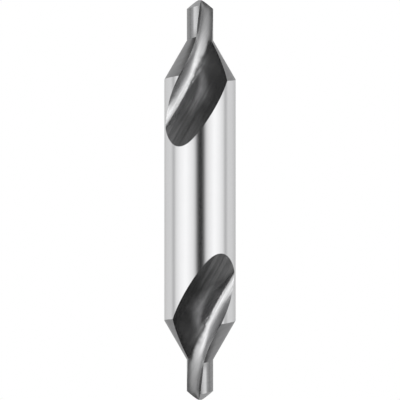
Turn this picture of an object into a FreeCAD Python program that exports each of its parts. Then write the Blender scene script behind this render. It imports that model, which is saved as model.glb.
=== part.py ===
import FreeCAD, Part
import math
import os

# Double-ended centre drill, millimetres, +Z along its axis, origin at the middle of its length.
# Each end is built with its tip at height 0 and the body below it, then moved into place.

# Overall sizes
overall_length = 56.0
body_diameter = 10.0

# Pilot and countersink, measured at the leading edge of a land
pilot_diameter = 4.0
pilot_length = 5.03
countersink_angle = 60.0

# Form relief: how far each land falls away over a quarter turn behind its leading edge
pilot_relief = 0.156
countersink_relief = 0.52
relief_split_angle = -70.0      # where one land's relief gives way to the other's, inside the flute

# Point: each flank is a wide cone whose side runs along the lip
lip_slope = 20.0                # degrees below a flat end
lip_clearance = 14.0            # how steeply the flank falls away behind the lip
grind_half_angle = 59.0
grind_apex_offset = 1.0         # from the drill's axis, past the centre

# Flute: a floor and a hooked rake wall that meet at the crease
web_half_width = 0.151          # from the drill's axis to the crease at the tip, to the side
web_half_depth = 0.184          # the same, towards the front
web_growth = 0.058              # forward drift of the crease for each millimetre down the drill
root_radius = 0.4
rake_radius = 6.963
rake_centre_height = 2.651      # of the rake arc's centre, over the floor
floor_rise = -0.029             # of the floor at the crease
floor_bow = -0.009
floor_azimuth_tip = -76.7       # direction that the floor faces, at the tip
floor_azimuth_end = -131.8      # and where the twist has run out
twist_length = 19.5
twist_power = 1.764

# Run-out, where the flute climbs out of the body along a straight line
run_out_start = 5.71
run_out_blend = 7.0
run_out_slope = 0.563
run_out_side_slope = 0.010

# Flute cutter, which only has to reach past the body
cutter_above_tip = 1.0
cutter_below_tip = 22.0
cutter_sections = 17
cutter_clearance = 2.0          # beyond the body's radius

body_radius = body_diameter / 2
pilot_radius = pilot_diameter / 2
cone_slope = math.tan(math.radians(countersink_angle / 2))
axis_up = FreeCAD.Vector(0, 0, 1)
tip_point = FreeCAD.Vector(0, 0, 0)


def half_turn(shape, axis):
    """A copy turned by 180 degrees about an axis through the origin."""
    turned = shape.copy()
    turned.rotate(tip_point, axis, 180)
    return turned


def relief_offset(relief):
    """Shift of a land's centre that makes its edge fall by the relief over a quarter turn."""
    return relief / math.sqrt(2)


def cone_length():
    """Height of the countersink, from the pilot until it is wider than the whole body."""
    shift = relief_offset(countersink_relief)
    return (body_radius - pilot_radius + 2 * shift) / cone_slope + 0.5


def relieved_land():
    """Pilot and countersink of the land whose leading edge faces the front, as full rounds."""
    ahead = FreeCAD.Vector(math.sqrt(0.5), -math.sqrt(0.5), 0)
    pilot_shift = relief_offset(pilot_relief)
    cone_shift = relief_offset(countersink_relief)
    depth = pilot_length + cone_length()
    pilot = Part.makeCylinder(pilot_radius - pilot_shift * math.sqrt(0.5), depth)
    pilot.translate(ahead * pilot_shift - axis_up * depth)
    small_radius = pilot_radius - cone_shift * math.sqrt(0.5)
    large_radius = small_radius + cone_length() * cone_slope
    cone = Part.makeCone(large_radius, small_radius, cone_length())
    cone.translate(ahead * cone_shift - axis_up * depth)
    return pilot.fuse(cone)


def land_side():
    """The half of space behind the front land's leading edge."""
    reach = overall_length
    side = Part.makeBox(reach, 2 * reach, 2 * reach, FreeCAD.Vector(-reach, -reach, -reach))
    side.rotate(tip_point, axis_up, relief_split_angle + 90)
    return side


def flank_cone():
    """Solid under the flank of the front land, a cone ground along its lip."""
    slope = math.radians(lip_slope)
    clearance = math.radians(lip_clearance)
    half_angle = math.radians(grind_half_angle)
    along_lip = FreeCAD.Vector(0, -math.cos(slope), -math.sin(slope))
    into_land = FreeCAD.Vector(0, math.sin(slope), -math.cos(slope))
    sideways = FreeCAD.Vector(1, 0, 0)
    inward = into_land * math.cos(clearance) + sideways * math.sin(clearance)
    grind_axis = along_lip * math.cos(half_angle) + inward * math.sin(half_angle)
    apex = FreeCAD.Vector(0, grind_apex_offset, grind_apex_offset * math.tan(slope))
    height = 2 * overall_length     # tall enough that its slanting base clears the whole drill
    return Part.makeCone(0, height * math.tan(half_angle), height, apex, grind_axis)


def crease_point(depth):
    """Where the flute's floor and rake wall meet, at a depth below the tip."""
    past_start = max(depth - run_out_start, 0)
    if past_start < run_out_blend:
        climb = past_start ** 2 / (2 * run_out_blend)
    else:
        climb = past_start - run_out_blend / 2
    across = web_half_width - run_out_slope * climb
    forward = -web_half_depth - web_growth * depth - run_out_side_slope * climb
    return FreeCAD.Vector(across, forward, -depth)


def floor_azimuth(depth):
    """Direction that the floor faces, which twists quickly near the tip and then hardly at all."""
    left = 1 - min(max(depth / twist_length, 0), 1)
    return math.radians(floor_azimuth_end + (floor_azimuth_tip - floor_azimuth_end) * left ** twist_power)


def flute_section(depth):
    """Closed outline of the flute at a depth: floor, outer side, top, rake wall and root."""
    azimuth = floor_azimuth(depth)
    crease = crease_point(depth)
    outward = FreeCAD.Vector(math.cos(azimuth), math.sin(azimuth), 0)
    along = FreeCAD.Vector(-math.sin(azimuth), math.cos(azimuth), 0)
    reach = body_radius + cutter_clearance

    def place(height, distance):
        return crease + outward * height + along * distance

    def floor_point(distance):
        return place(floor_rise * distance + floor_bow * distance ** 2, distance)

    centre_distance = math.sqrt(rake_radius ** 2 - rake_centre_height ** 2)

    def rake_point(height):
        inset = math.sqrt(rake_radius ** 2 - (height - rake_centre_height) ** 2)
        return place(height, centre_distance - inset)

    floor_direction = (floor_point(0.01) - crease).normalize()
    rake_direction = (rake_point(0.01) - crease).normalize()
    middle = (floor_direction + rake_direction).normalize()
    half_corner = floor_direction.getAngle(rake_direction) / 2
    setback = root_radius / math.tan(half_corner)
    root_centre = crease + middle * (root_radius / math.sin(half_corner))
    floor_start = floor_point(setback)
    rake_start = rake_point(rake_direction.dot(outward) * setback)
    floor_arc = Part.Arc(floor_start, floor_point(reach / 2), floor_point(reach))
    rake_arc = Part.Arc(rake_point(reach), rake_point(reach / 2), rake_start)
    root_arc = Part.Arc(rake_start, root_centre - middle * root_radius, floor_start)
    edges = [
        floor_arc.toShape(),
        Part.LineSegment(floor_point(reach), place(reach, reach)).toShape(),
        Part.LineSegment(place(reach, reach), rake_point(reach)).toShape(),
        rake_arc.toShape(),
        root_arc.toShape(),
    ]
    return Part.Wire(edges)


def flute_cutter():
    """Solid of one flute, through its outlines from above the tip to beyond the run-out."""
    step = (cutter_above_tip + cutter_below_tip) / (cutter_sections - 1)
    depths = [-cutter_above_tip + step * index for index in range(cutter_sections)]
    return Part.makeLoft([flute_section(depth) for depth in depths], True, False)


def drill_end():
    """One working end, with its tip at height 0, down to the middle of the body."""
    land = relieved_land().common(land_side())
    body = Part.makeCylinder(body_radius, overall_length / 2)
    body.translate(axis_up * (-overall_length / 2))
    head = land.fuse(half_turn(land, axis_up)).common(body)
    plain_length = overall_length / 2 - pilot_length - cone_length()
    plain = Part.makeCylinder(body_radius, plain_length)
    plain.translate(axis_up * (-overall_length / 2))
    blank = plain.fuse(head)
    flank = flank_cone()
    pointed = blank.common(flank).common(half_turn(flank, axis_up))
    flute = flute_cutter()
    return pointed.cut(flute).cut(half_turn(flute, axis_up))


upper_end = drill_end()
upper_end.translate(axis_up * (overall_length / 2))
lower_end = half_turn(upper_end, FreeCAD.Vector(0, 1, 0))
centre_drill = upper_end.fuse(lower_end).removeSplitter()

os.makedirs("parts", exist_ok=True)
centre_drill.exportStep("parts/centre_drill.step")
print("solids", len(centre_drill.Solids), "valid", centre_drill.isValid(), "faces", len(centre_drill.Faces))
print("volume", round(centre_drill.Volume, 1), "box", centre_drill.BoundBox)
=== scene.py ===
import math

import bmesh
import bpy
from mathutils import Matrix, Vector


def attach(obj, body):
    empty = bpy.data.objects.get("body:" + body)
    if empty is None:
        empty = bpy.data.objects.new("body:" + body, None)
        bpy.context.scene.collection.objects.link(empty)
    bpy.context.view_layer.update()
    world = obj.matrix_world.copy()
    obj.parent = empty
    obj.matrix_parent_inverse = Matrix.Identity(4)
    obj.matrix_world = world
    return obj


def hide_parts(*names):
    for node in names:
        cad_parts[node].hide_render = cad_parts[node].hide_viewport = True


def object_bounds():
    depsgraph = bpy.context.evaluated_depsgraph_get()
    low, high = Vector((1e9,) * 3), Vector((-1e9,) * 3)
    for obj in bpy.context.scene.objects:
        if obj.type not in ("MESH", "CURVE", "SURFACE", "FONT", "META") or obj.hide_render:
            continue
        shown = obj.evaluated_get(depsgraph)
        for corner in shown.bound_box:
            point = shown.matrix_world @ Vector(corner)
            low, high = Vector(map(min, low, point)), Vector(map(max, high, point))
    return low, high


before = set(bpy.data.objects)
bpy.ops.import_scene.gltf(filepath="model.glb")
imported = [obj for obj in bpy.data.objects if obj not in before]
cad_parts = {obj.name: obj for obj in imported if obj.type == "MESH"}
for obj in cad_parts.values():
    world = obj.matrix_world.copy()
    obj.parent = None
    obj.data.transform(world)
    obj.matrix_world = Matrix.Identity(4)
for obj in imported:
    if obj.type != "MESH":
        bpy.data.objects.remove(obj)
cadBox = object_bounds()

mm = 0.001
tiny = 0.001    # keeps a division from being by nothing


# Shader maths as plain expressions

class Term:
    def __init__(self, nodes, socket):
        self.nodes = nodes
        self.socket = socket

    def maths(self, operation, other=None, swapped=False):
        pair = [self, other] if other is not None else [self]
        if swapped:
            pair.reverse()
        return self.nodes.add("Math", {"operation": operation}, dict(enumerate(pair)))

    def __add__(self, other):
        return self.maths("ADD", other)

    def __radd__(self, other):
        return self.maths("ADD", other, True)

    def __sub__(self, other):
        return self.maths("SUBTRACT", other)

    def __rsub__(self, other):
        return self.maths("SUBTRACT", other, True)

    def __mul__(self, other):
        return self.maths("MULTIPLY", other)

    def __rmul__(self, other):
        return self.maths("MULTIPLY", other, True)

    def __truediv__(self, other):
        return self.maths("DIVIDE", other)

    def __abs__(self):
        return self.maths("ABSOLUTE")

    # 0 below low, 1 above high, eased between them
    def ease(self, low, high):
        settings = {"interpolation_type": "SMOOTHSTEP"}
        sockets = {"Value": self, "From Min": low, "From Max": high, "To Min": 0.0, "To Max": 1.0}
        return self.nodes.add("MapRange", settings, sockets)


class Nodes:
    def __init__(self, tree):
        self.tree = tree
        tree.nodes.clear()

    # Any node: its type, its settings, what goes into its sockets, and the output that is used
    def add(self, kind, settings=None, sockets=None, output=0):
        node = self.tree.nodes.new("ShaderNode" + kind)
        for name, value in (settings or {}).items():
            if name == "stops":
                self.setStops(node.color_ramp.elements, value)
            else:
                setattr(node, name, value)
        for name, value in (sockets or {}).items():
            if isinstance(value, Term):
                self.tree.links.new(value.socket, node.inputs[name])
            else:
                node.inputs[name].default_value = value
        return Term(self, node.outputs[output] if len(node.outputs) else None)

    def setStops(self, elements, stops):
        elements.remove(elements[1])
        for place, (spot, shade) in enumerate(stops):
            element = elements.new(spot) if place else elements[0]
            element.position = spot
            element.color = (shade, shade, shade, 1)

    # 6, 7 and output 2 are the mix node's sockets for colours, which share their names with others
    def blend(self, factor, first, second):
        return self.add("Mix", {"data_type": "RGBA"}, {0: factor, 6: first, 7: second}, 2)

    def split(self, vector):
        node = self.tree.nodes.new("ShaderNodeSeparateXYZ")
        self.tree.links.new(vector.socket, node.inputs[0])
        return [Term(self, output) for output in node.outputs]

    def join(self, x, y, z):
        return self.add("CombineXYZ", {}, {"X": x, "Y": y, "Z": z})

    def finish(self, kind, shader):
        self.add("Output" + kind, {}, {"Surface": shader})


def newMaterial(name):
    material = bpy.data.materials.new(name)
    material.use_nodes = True
    return material, Nodes(material.node_tree)


# Finishes of the steel, each with its colour, gloss and grinding lines
# pitch is in lines per millimetre, turn in degrees from the axis, marks is how much the lines show
# the strip behind the leading edge has a colour of its own, a painted highlight that stands in for
# a reflection, tip is the colour at the tip, where painted shade darkens the flute,
# and runOutMarks how much more the lines show where the flute runs out
# a finish so marked also takes the painted light and shade that is set at the mesh's corners

finishes = {
    "shank": {"colour": 0.62, "roughness": 0.15, "marks": 0.015, "pitch": 9.0, "turn": 90.0},
    "pilot": {"colour": 0.24, "roughness": 0.25, "marks": 0.10, "pitch": 4.0, "turn": 90.0,
              "paintedHighlight": 0.44},
    "land": {"colour": 0.31, "roughness": 0.36, "marks": 0.12, "pitch": 3.0, "turn": 60.0},
    "flank": {"colour": 0.55, "roughness": 0.34, "marks": 0.12, "pitch": 5.0, "turn": 62.0},
    "flute": {"colour": 0.62, "roughness": 0.25, "marks": 0.12, "pitch": 2.4, "turn": 28.5,
              "tip": 0.18, "takesPaintedLight": True, "runOutMarks": 2.0},
}

# What all the finishes share, in millimetres, with depths measured from the nearer tip

grinding = {
    "linesAlong": 0.03,             # how much the lines vary along themselves, as a part of across
    "linesInward": 0.25,            # and into the drill
    "lineDetail": 3.0,
    "lineRoughness": 0.7,
    "cloudScale": 0.35,
    "cloudDetail": 2.0,
    "linePart": 0.75,               # of the marks, where the rest is cloud
    "markRange": (0.25, 0.75),
    "runOutDepths": (11.0, 16.0),
    # the next three place the pilot's painted highlight
    "highlightLag": (-0.64, -0.42),    # tangent of the angle from the front or the back
    "highlightDepths": (3.8, 5.2),
    "highlightFade": 0.8,
    "tipDepth": 0.5,
    "tipFade": 8.5,
    "blue": 1.01,
    "bumpStrength": 0.10,
    "bumpHeight": 0.003,
    "edgeTint": 0.9,
}


# Steel ground in one direction: fine lines that lean by the finish's turn
def makeSteel(name):
    finish = finishes[name]
    material, nodes = newMaterial(name + "Steel")
    place = nodes.add("TexCoord", output="Object")
    x, y, z = nodes.split(place)

    def depthBelowTip():
        return surfaces["halfLength"] - abs(z) / mm

    # seen from the front, what lies on the back leans the other way
    side = nodes.add("Math", {"operation": "SIGN"}, {0: y}) * -1.0
    turn = math.radians(finish["turn"])
    across = x * side * math.cos(turn) - z * math.sin(turn)
    along = x * side * math.sin(turn) + z * math.cos(turn)
    perMm = finish["pitch"] / mm
    alongSpot = along * (perMm * grinding["linesAlong"])
    lineSpot = nodes.join(across * perMm, alongSpot, y * (perMm * grinding["linesInward"]))
    lines = nodes.add("TexNoise", {}, {
        "Vector": lineSpot, "Scale": 1.0,
        "Detail": grinding["lineDetail"], "Roughness": grinding["lineRoughness"]})
    cloud = nodes.add("TexNoise", {}, {
        "Vector": place, "Scale": grinding["cloudScale"] / mm, "Detail": grinding["cloudDetail"]})
    shade = lines * grinding["linePart"] + cloud * (1 - grinding["linePart"])
    marks = shade.ease(*grinding["markRange"]) * 2 - 1
    if "runOutMarks" in finish:
        runOut = depthBelowTip().ease(*grinding["runOutDepths"])
        marks = marks * (1 + runOut * finish["runOutMarks"])
    level = finish["colour"] * (1 + marks * finish["marks"])
    if "paintedHighlight" in finish:
        # a painted highlight that stands in for a reflection, the same on both lands of both ends
        end = nodes.add("Math", {"operation": "SIGN"}, {0: z})
        lag = x * end / (y * -1.0)
        fade = 1 - depthBelowTip().ease(*grinding["highlightDepths"]) * grinding["highlightFade"]
        strip = lag.ease(*grinding["highlightLag"]) * fade
        level = level + strip * (finish["paintedHighlight"] - finish["colour"])
    # painted light and shade, set at the flute's corners, brighten or darken its colour
    if finish.get("takesPaintedLight"):
        level = level * (1 + nodes.add("Attribute", {"attribute_name": "paintedLightAndShade"}, output="Fac"))
    if "tip" in finish:
        # darker towards the tip after the photo, a painted shade that dims the flute's reflection
        # there
        towardsShank = (depthBelowTip() - grinding["tipDepth"]) / grinding["tipFade"]
        part = nodes.add("Clamp", {}, {"Value": towardsShank})
        tipShade = finish["tip"] / finish["colour"]
        level = level * (tipShade + part * part * (1 - tipShade))
    colour = nodes.blend(level, (0, 0, 0, 1), (1, 1, grinding["blue"], 1))
    roughness = finish["roughness"] * (1 + finish["marks"] * 2 * (shade - 0.5))
    bump = nodes.add("Bump", {}, {
        "Strength": grinding["bumpStrength"], "Distance": grinding["bumpHeight"] * mm,
        "Height": lines})
    edgeTint = [grinding["edgeTint"]] * 3 + [1]
    steel = nodes.add("BsdfPrincipled", {}, {
        "Base Color": colour, "Metallic": 1.0, "Roughness": roughness, "Normal": bump,
        "Specular Tint": edgeTint})
    nodes.finish("Material", steel)
    return material


# Sizes by which a face of the drill is known, in millimetres and as parts of its normal

surfaces = {
    "halfLength": 28.0,
    "bodyRadius": 5.0,
    "pilotRadius": 2.0,
    "pilotLength": 5.7,
    "coneEnd": 12.0,
    "radiusSlack": 0.05,
    "pilotSlack": 0.25,
    "flankRise": 0.6,
    "coneRise": 0.5,
    "riseSlack": 0.12,
    "roundOutward": 0.95,
    "coneOutward": 0.7,
}


# Which finish a face has, from where it is and which way it faces
def finishOf(face):
    sizes = surfaces
    centre = face.calc_center_median() / mm
    radius = math.hypot(centre.x, centre.y)
    depth = sizes["halfLength"] - abs(centre.z)
    rise = face.normal.z * math.copysign(1, centre.z)
    outward = (face.normal.x * centre.x + face.normal.y * centre.y) / max(radius, tiny)
    upright = abs(rise) < sizes["riseSlack"] and outward > sizes["roundOutward"]
    if upright and radius > sizes["bodyRadius"] - sizes["radiusSlack"]:
        return "shank"
    if rise > sizes["flankRise"]:
        return "flank"
    onSlope = abs(rise - sizes["coneRise"]) < sizes["riseSlack"]
    if onSlope and outward > sizes["coneOutward"] and depth < sizes["coneEnd"]:
        return "land"
    onPilot = radius > sizes["pilotRadius"] - sizes["pilotSlack"] and depth < sizes["pilotLength"]
    if upright and onPilot:
        return "pilot"
    return "flute"


# The drill itself: the CAD node merged into one smooth skin with crisp edges
# lengths are in millimetres, angles in degrees and depths from the nearer tip

drill = {
    "name": "centre_drill_ground",
    "mergeWithin": 0.0005,
    "crispAbove": 38.0,
    "crispInFlute": 75.0,
    "rootFrom": 12.3,       # where the flute's root begins to get rounder towards the tip
    "rootTo": 7.5,          # and above here it is roundest
    "cutRounds": 4,         # times that the edges there longer than cutAbove are cut in two
    "cutAbove": 0.24,
    "joinRounds": 14,       # times at most that the short edges are shrunk
    # above the first number, edges shorter than the second shrink to a point
    "joinAbove": [(11.5, 0.05), (10.3, 0.08), (9.2, 0.11), (8.0, 0.13)],
    "smoothRounds": 120,
    "smoothFactor": 0.5,
}


def depthOf(spot):
    return surfaces["halfLength"] - abs(spot.z) / mm


# Crisp where one finish meets another, and where the surface turns
def isCrisp(edge, fluteIndex):
    kinds = {face.material_index for face in edge.link_faces}
    limit = drill["crispInFlute"] if fluteIndex in kinds else drill["crispAbove"]
    return len(kinds) > 1 or edge.calc_face_angle(math.pi) > math.radians(limit)


def neighbours(vert):
    return {edge.other_vert(vert) for edge in vert.link_edges}


# Shrinks short edges to a point, a few far apart ones at a time, so that the skin stays closed
def joinNearPoints(skin, allowed, apart):
    left = set(allowed)
    for turn in range(drill["joinRounds"]):
        touched = set()
        chosen = []
        for edge in skin.edges:
            first, second = edge.verts
            if first not in left or second not in left or edge.calc_length() > apart:
                continue
            around = neighbours(first) | neighbours(second)
            shared = neighbours(first) & neighbours(second)
            if len(shared) == 2 and not around & touched:
                touched |= around
                chosen.append(edge)
        if not chosen:
            return
        bmesh.ops.collapse(skin, edges=chosen, uvs=False)
        left = {vert for vert in left if vert.is_valid}


# Rounds the root of each flute towards the tip, by smoothing its points
def softenRoots(skin, fluteIndex):
    def inFlute(faces):
        return all(face.material_index == fluteIndex for face in faces)

    def innerAbove(depth):
        return [vert for vert in skin.verts
                if inFlute(vert.link_faces) and depthOf(vert.co) < depth]

    for turn in range(drill["cutRounds"]):
        longEdges = []
        for edge in skin.edges:
            near = min(depthOf(vert.co) for vert in edge.verts) < drill["rootFrom"]
            if near and edge.calc_length() > drill["cutAbove"] * mm and inFlute(edge.link_faces):
                longEdges.append(edge)
        bmesh.ops.subdivide_edges(skin, edges=longEdges, cuts=1)
        wide = [face for face in skin.faces if len(face.verts) > 3]
        bmesh.ops.triangulate(skin, faces=wide, quad_method="SHORT_EDGE")
    for depth, apart in drill["joinAbove"]:
        joinNearPoints(skin, innerAbove(depth), apart * mm)
    inner = innerAbove(drill["rootFrom"])
    step = (drill["rootFrom"] - drill["rootTo"]) / drill["smoothRounds"]
    for turn in range(drill["smoothRounds"]):
        limit = drill["rootFrom"] - step * turn
        chosen = [vert for vert in inner if depthOf(vert.co) < limit]
        bmesh.ops.smooth_vert(
            skin, verts=chosen, factor=drill["smoothFactor"],
            use_axis_x=True, use_axis_y=True, use_axis_z=True)
    return len(inner)


# its Bright entries are painted highlights and its Dark entries painted shade in the flute's
# colour, while hookLean and levelling bend only the shading normals
# How the flute shades, after the photo
# A pair is where an effect begins and where it is full, or begins to fade and is gone
# facing is how far a corner faces towards the heel, which the rake wall does most,
# and across is how far from the axis towards the heel it lies, in millimetres

shading = {
    "rakeFacing": (0.2, 0.55),
    "rakeFacingFade": (0.66, 0.90),
    "hookDepths": (4.0, 7.5),
    "hookLean": 0.55,               # of the shading normal, away from the axis
    "hookBright": 0.24,
    "outerFacing": (0.67, 0.77),
    "outerShift": 0.07,
    "outerShiftDepths": (11.5, 13.5),
    "outerDark": 0.45,
    "outerDarkDepths": (9.5, 12.0),
    "levelling": 0.32,              # of the shading normal, towards square to the axis
    "levelDepths": (9.0, 13.0),
    "floorFacingFade": (0.1, 0.4),
    "floorDepths": (6.5, 8.5),
    "shadeAcross": (-0.1, 0.6),
    "shadeAcrossFade": (1.3, 2.7),
    "shadeDepthFade": (14.0, 17.0),
    "shadeHeelward": 0.3,           # how much nearer the heel the shaded band lies near the tip
    "heelwardFade": (8.0, 9.5),
    "shadeRakeward": 0.5,           # and how much nearer the rake wall at the run-out
    "rakewardDepths": (11.0, 13.5),
    "shadeDark": 0.55,
    "rootAcrossFade": (-1.2, -0.4),
    "rootDepths": (12.0, 14.5),
    "rootDepthFade": (15.0, 16.5),
    "rootBright": 0.5,
    "endDepths": (15.0, 17.0),
    "endDark": 0.30,
    "edgeAcross": (1.15, 1.7),
    "edgeDepthFade": (5.0, 7.0),
    "edgeDark": 0.55,
}


def grown(value, span):
    low, high = span
    return min(max((value - low) / (high - low), 0), 1)


def faded(value, span):
    return 1 - grown(value, span)


# Leans and levels the normal on the rake wall, and gives the corner's painted light and shade: how
# much brighter or darker its colour is
def shadeFluteCorner(normal, spot):
    back = math.copysign(1, spot.y)
    end = math.copysign(1, spot.z)
    depth = depthOf(spot)
    facing = -normal.x * back * end
    across = -spot.x / mm * back * end

    onRake = grown(facing, shading["rakeFacing"]) * faded(facing, shading["rakeFacingFade"])
    hook = onRake * grown(depth, shading["hookDepths"])
    shift = shading["outerShift"] * grown(depth, shading["outerShiftDepths"])
    outer = grown(facing + shift, shading["outerFacing"])
    normal.y += shading["hookLean"] * hook * back
    levelled = onRake * (1 - outer) * grown(depth, shading["levelDepths"])
    normal.z *= 1 - shading["levelling"] * levelled
    normal.normalize()

    # from here on, the corner's painted highlights and painted shade
    heelward = shading["shadeHeelward"] * faded(depth, shading["heelwardFade"])
    rakeward = shading["shadeRakeward"] * grown(depth, shading["rakewardDepths"])
    moved = across - heelward + rakeward
    shaded = (grown(moved, shading["shadeAcross"]) * faded(moved, shading["shadeAcrossFade"])
              * faded(depth, shading["shadeDepthFade"]))
    root = (faded(across, shading["rootAcrossFade"]) * grown(depth, shading["rootDepths"])
            * faded(depth, shading["rootDepthFade"]))
    runOut = grown(depth, shading["endDepths"])
    floorShade = (root * shading["rootBright"] - shaded * shading["shadeDark"]
                  - runOut * shading["endDark"])
    onFloor = faded(facing, shading["floorFacingFade"]) * grown(depth, shading["floorDepths"])
    rakeShade = (hook * shading["hookBright"]
                 - outer * shading["outerDark"] * grown(depth, shading["outerDarkDepths"]))
    edge = grown(across, shading["edgeAcross"]) * faded(depth, shading["edgeDepthFade"])
    return rakeShade + onFloor * floorShade - edge * shading["edgeDark"]


# The shank's long triangles shade as the true round, and the flute as set above, with painted
# light and shade stored at its corners
def shadeCorners(mesh, names):
    paintedLightAndShade = mesh.attributes.new("paintedLightAndShade", "FLOAT", "CORNER")
    normals = [corner.vector.copy() for corner in mesh.corner_normals]
    for face in mesh.polygons:
        name = names[face.material_index]
        for loop in face.loop_indices:
            spot = mesh.vertices[mesh.loops[loop].vertex_index].co
            if name == "shank":
                normals[loop] = Vector((spot.x, spot.y, 0)).normalized()
            elif name == "flute":
                paintedLightAndShade.data[loop].value = shadeFluteCorner(normals[loop], spot)
    mesh.normals_split_custom_set(normals)


def makeDrill():
    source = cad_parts["centre_drill"]
    mesh = source.data.copy()
    mesh.materials.clear()
    skin = bmesh.new()
    skin.from_mesh(mesh)
    bmesh.ops.remove_doubles(skin, verts=skin.verts, dist=drill["mergeWithin"] * mm)
    bmesh.ops.recalc_face_normals(skin, faces=skin.faces)
    names = list(finishes)
    counts = dict.fromkeys(names, 0)
    for face in skin.faces:
        face.smooth = True
        name = finishOf(face)
        face.material_index = names.index(name)
        counts[name] += 1
    softened = softenRoots(skin, names.index("flute"))
    for edge in skin.edges:
        edge.smooth = not isCrisp(edge, names.index("flute"))
    skin.to_mesh(mesh)
    skin.free()
    for name in names:
        mesh.materials.append(makeSteel(name))
    shadeCorners(mesh, names)
    piece = bpy.data.objects.new(drill["name"], mesh)
    bpy.context.scene.collection.objects.link(piece)
    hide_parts("centre_drill")
    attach(piece, "root")
    print("drill faces by finish", counts)
    print("then", len(mesh.polygons), "faces, softened points", softened)


# Studio: a long white panel at each side, dark round the camera, a white backdrop behind
# round is the turn from the camera about the drill, climb the height over the sideways distance

studio = {
    "brightest": 1.56,
    # parts of the brightest, at parts of the half turn from the camera to behind the drill
    "round": [(0.025, 0.02), (0.060, 0.12), (0.090, 0.54), (0.13, 0.78), (0.26, 1.0),
              (0.36, 0.88), (0.45, 0.70), (0.49, 0.45), (0.52, 0.46), (0.57, 0.64),
              (0.70, 0.62), (0.85, 0.50), (1.0, 0.45)],
    "gapMiddle": 0.009,             # where the dark is centred, in half turns to the right
    "gapLean": 0.37,                # how far it leans to the left on the way up
    "gapFade": (0.15, 0.40),        # half turns from the camera over which both stop
    "leftLonger": 0.045,            # how much further round the left side's levels reach
    # parts of full light, at parts of the highest climb
    "climb": [(0.20, 1.0), (0.24, 0.07), (0.38, 0.05), (0.48, 0.012), (1.0, 0.012)],
    "highestClimb": 2.0,
    "openReach": 0.80,              # top right and bottom left the panels reach further,
    "openHigh": 0.30,               # and this part of their light goes on over them
    "openBlend": 0.015,
    "back": (88.0, 98.0),           # degrees from the camera
    "backHigh": 0.70,
    "backHeights": (0.20, 0.45),
    # how far the light beside the drill is full, over and under its middle
    "wing": 0.72,
    "wingFrom": (76.0, 86.0),
    "wingTo": (110.0, 122.0),
    "wingHeights": (0.15, 0.26),
    "wingHeightsFade": (0.44, 0.52),
}


def inHalfTurns(degrees):
    return [angle / 180 for angle in degrees]


def makeWorld():
    world = bpy.data.worlds.new("studio")
    bpy.context.scene.world = world
    world.use_nodes = True
    nodes = Nodes(world.node_tree)
    x, y, z = nodes.split(nodes.add("TexCoord", output="Generated"))
    turn = nodes.add("Math", {"operation": "ARCTAN2"}, {0: x, 1: y * -1.0}) * (1 / math.pi)
    near = 1 - abs(turn).ease(*studio["gapFade"])
    onLeft = nodes.add("Math", {"operation": "LESS_THAN"}, {0: x, 1: 0.0})
    halfTurn = abs(turn + near * (z * studio["gapLean"] - studio["gapMiddle"]))
    halfTurn = halfTurn * (1 - onLeft * (1 - near) * studio["leftLonger"])

    opening = (x * z).ease(-studio["openBlend"], studio["openBlend"])
    reach = opening * studio["openReach"] + tiny
    climb = abs(z) / nodes.add("Math", {"operation": "MAXIMUM"}, {0: abs(x), 1: reach})
    climbPart = climb / studio["highestClimb"]
    climbLevel = nodes.add("ValToRGB", {"stops": studio["climb"]}, {"Fac": climbPart})
    climbLevel = climbLevel + (1 - climbLevel) * opening * studio["openHigh"]

    roundLevel = nodes.add("ValToRGB", {"stops": studio["round"]}, {"Fac": halfTurn})
    roundLevel = roundLevel * studio["brightest"]
    front = roundLevel * climbLevel
    high = abs(z).ease(*studio["backHeights"])
    back = roundLevel * (1 - high * (1 - studio["backHigh"]))
    behind = halfTurn.ease(*inHalfTurns(studio["back"]))
    level = front * (1 - behind) + back * behind

    wingEnd = halfTurn.ease(*inHalfTurns(studio["wingTo"]))
    wingSpan = halfTurn.ease(*inHalfTurns(studio["wingFrom"])) * (1 - wingEnd)
    wingTop = abs(z).ease(*studio["wingHeightsFade"])
    wingHeight = abs(z).ease(*studio["wingHeights"]) * (1 - wingTop)
    level = level + (studio["brightest"] - level) * wingSpan * wingHeight * studio["wing"]

    seen = nodes.add("LightPath", output="Is Camera Ray")
    level = level * (1 - seen) + seen
    glow = nodes.add("Background", {}, {"Color": (1, 1, 1, 1), "Strength": level})
    nodes.finish("World", glow)


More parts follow.
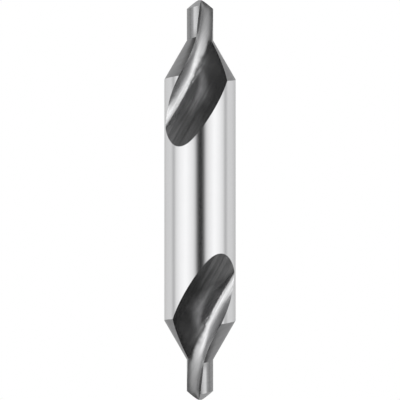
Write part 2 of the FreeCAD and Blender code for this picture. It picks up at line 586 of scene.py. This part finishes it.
# Floor: a plain pale disc under the lower tip, which fades into the white backdrop
# white is how far the camera sees it as plain white already in its middle

floor = {
    "name": "floor",
    "radius": 160 * mm,
    "segments": 96,
    "colour": 0.86,
    "white": 0.75,
    "fade": (30 * mm, 130 * mm),
}


def makeFloor():
    mesh = bpy.data.meshes.new(floor["name"])
    disc = bmesh.new()
    bmesh.ops.create_circle(
        disc, cap_ends=True, segments=floor["segments"], radius=floor["radius"])
    bmesh.ops.translate(disc, verts=disc.verts, vec=(0, 0, cadBox[0].z))
    disc.to_mesh(mesh)
    disc.free()
    material, nodes = newMaterial("paleFloor")
    seen = nodes.add("LightPath", output="Is Camera Ray")
    place = nodes.add("TexCoord", output="Object")
    distance = nodes.add("VectorMath", {"operation": "LENGTH"}, {0: place}, "Value")
    white = floor["white"] + distance.ease(*floor["fade"]) * (1 - floor["white"])
    matt = nodes.add("BsdfDiffuse", {}, {"Color": [floor["colour"]] * 3 + [1]})
    glow = nodes.add("Emission", {}, {"Color": (1, 1, 1, 1), "Strength": 1.0})
    nodes.finish("Material", nodes.add("MixShader", {}, {0: seen * white, 1: matt, 2: glow}))
    mesh.materials.append(material)
    piece = bpy.data.objects.new(floor["name"], mesh)
    piece.visible_glossy = False    # the steel mirrors the studio, below as above
    bpy.context.scene.collection.objects.link(piece)


# Camera: level with the drill's middle, its length filling the picture's height

camera = {"pictureHeight": 56 * mm, "distance": 600 * mm, "clipStart": 10 * mm, "clipEnd": 10.0}


def makeCamera():
    data = bpy.data.cameras.new("camera")
    data.type = "ORTHO"
    data.ortho_scale = camera["pictureHeight"]
    data.clip_start = camera["clipStart"]
    data.clip_end = camera["clipEnd"]
    eye = bpy.data.objects.new("camera", data)
    eye.location = (0, -camera["distance"], 0)
    eye.rotation_euler = (math.radians(90), 0, 0)
    bpy.context.scene.collection.objects.link(eye)
    bpy.context.scene.camera = eye


makeDrill()
print("drill done")
makeWorld()
makeFloor()
makeCamera()
bpy.context.scene.view_settings.view_transform = "Standard"
print("studio done")
